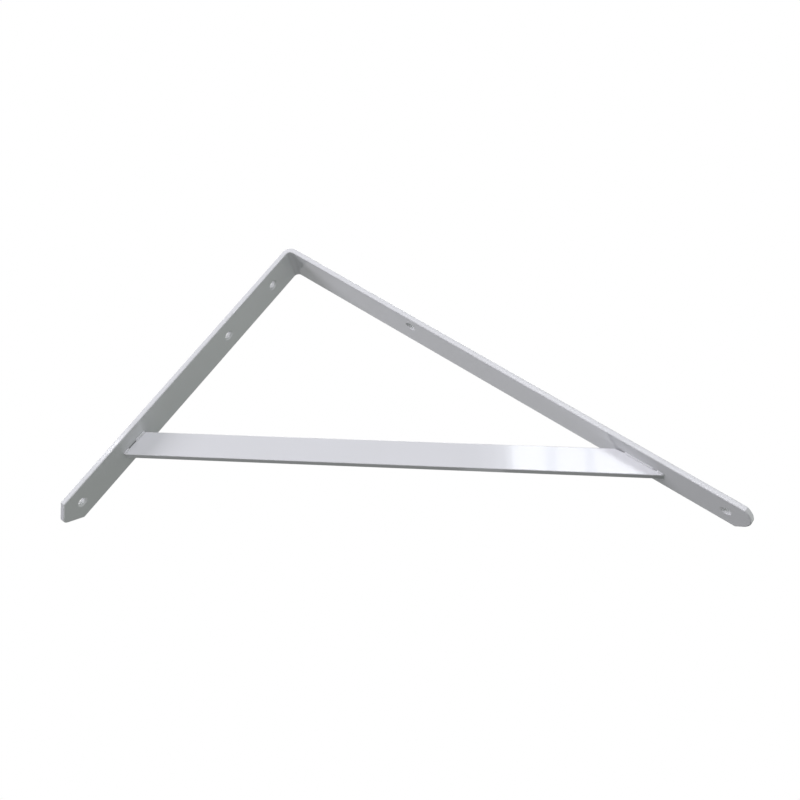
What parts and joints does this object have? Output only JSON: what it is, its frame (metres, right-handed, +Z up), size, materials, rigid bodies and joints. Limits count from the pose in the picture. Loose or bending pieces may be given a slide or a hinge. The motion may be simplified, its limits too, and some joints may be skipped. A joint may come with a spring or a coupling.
{
  "type": "shelf bracket",
  "caption": "White steel shelf bracket: flat bar bent to a right angle, short wall arm and long shelf arm with countersunk screw holes, stiffened by a welded diagonal brace.",
  "frame": {"origin": "outer corner of the bracket, where the wall plane and the shelf's underside meet, at the middle of the bar's width", "axes": "+X out from the wall along the shelf arm, +Y across the bar, +Z up; the wall arm hangs down along -Z"},
  "size_m": [0.4052, 0.0318, 0.2722],
  "materials": {
    "white_enamel": "gloss"
  },
  "bodies": {
    "root": {"bent_strap": "white_enamel", "diagonal_brace": "white_enamel", "wall_end_weld": "white_enamel", "shelf_end_weld": "white_enamel"}
  },
  "joints": []
}
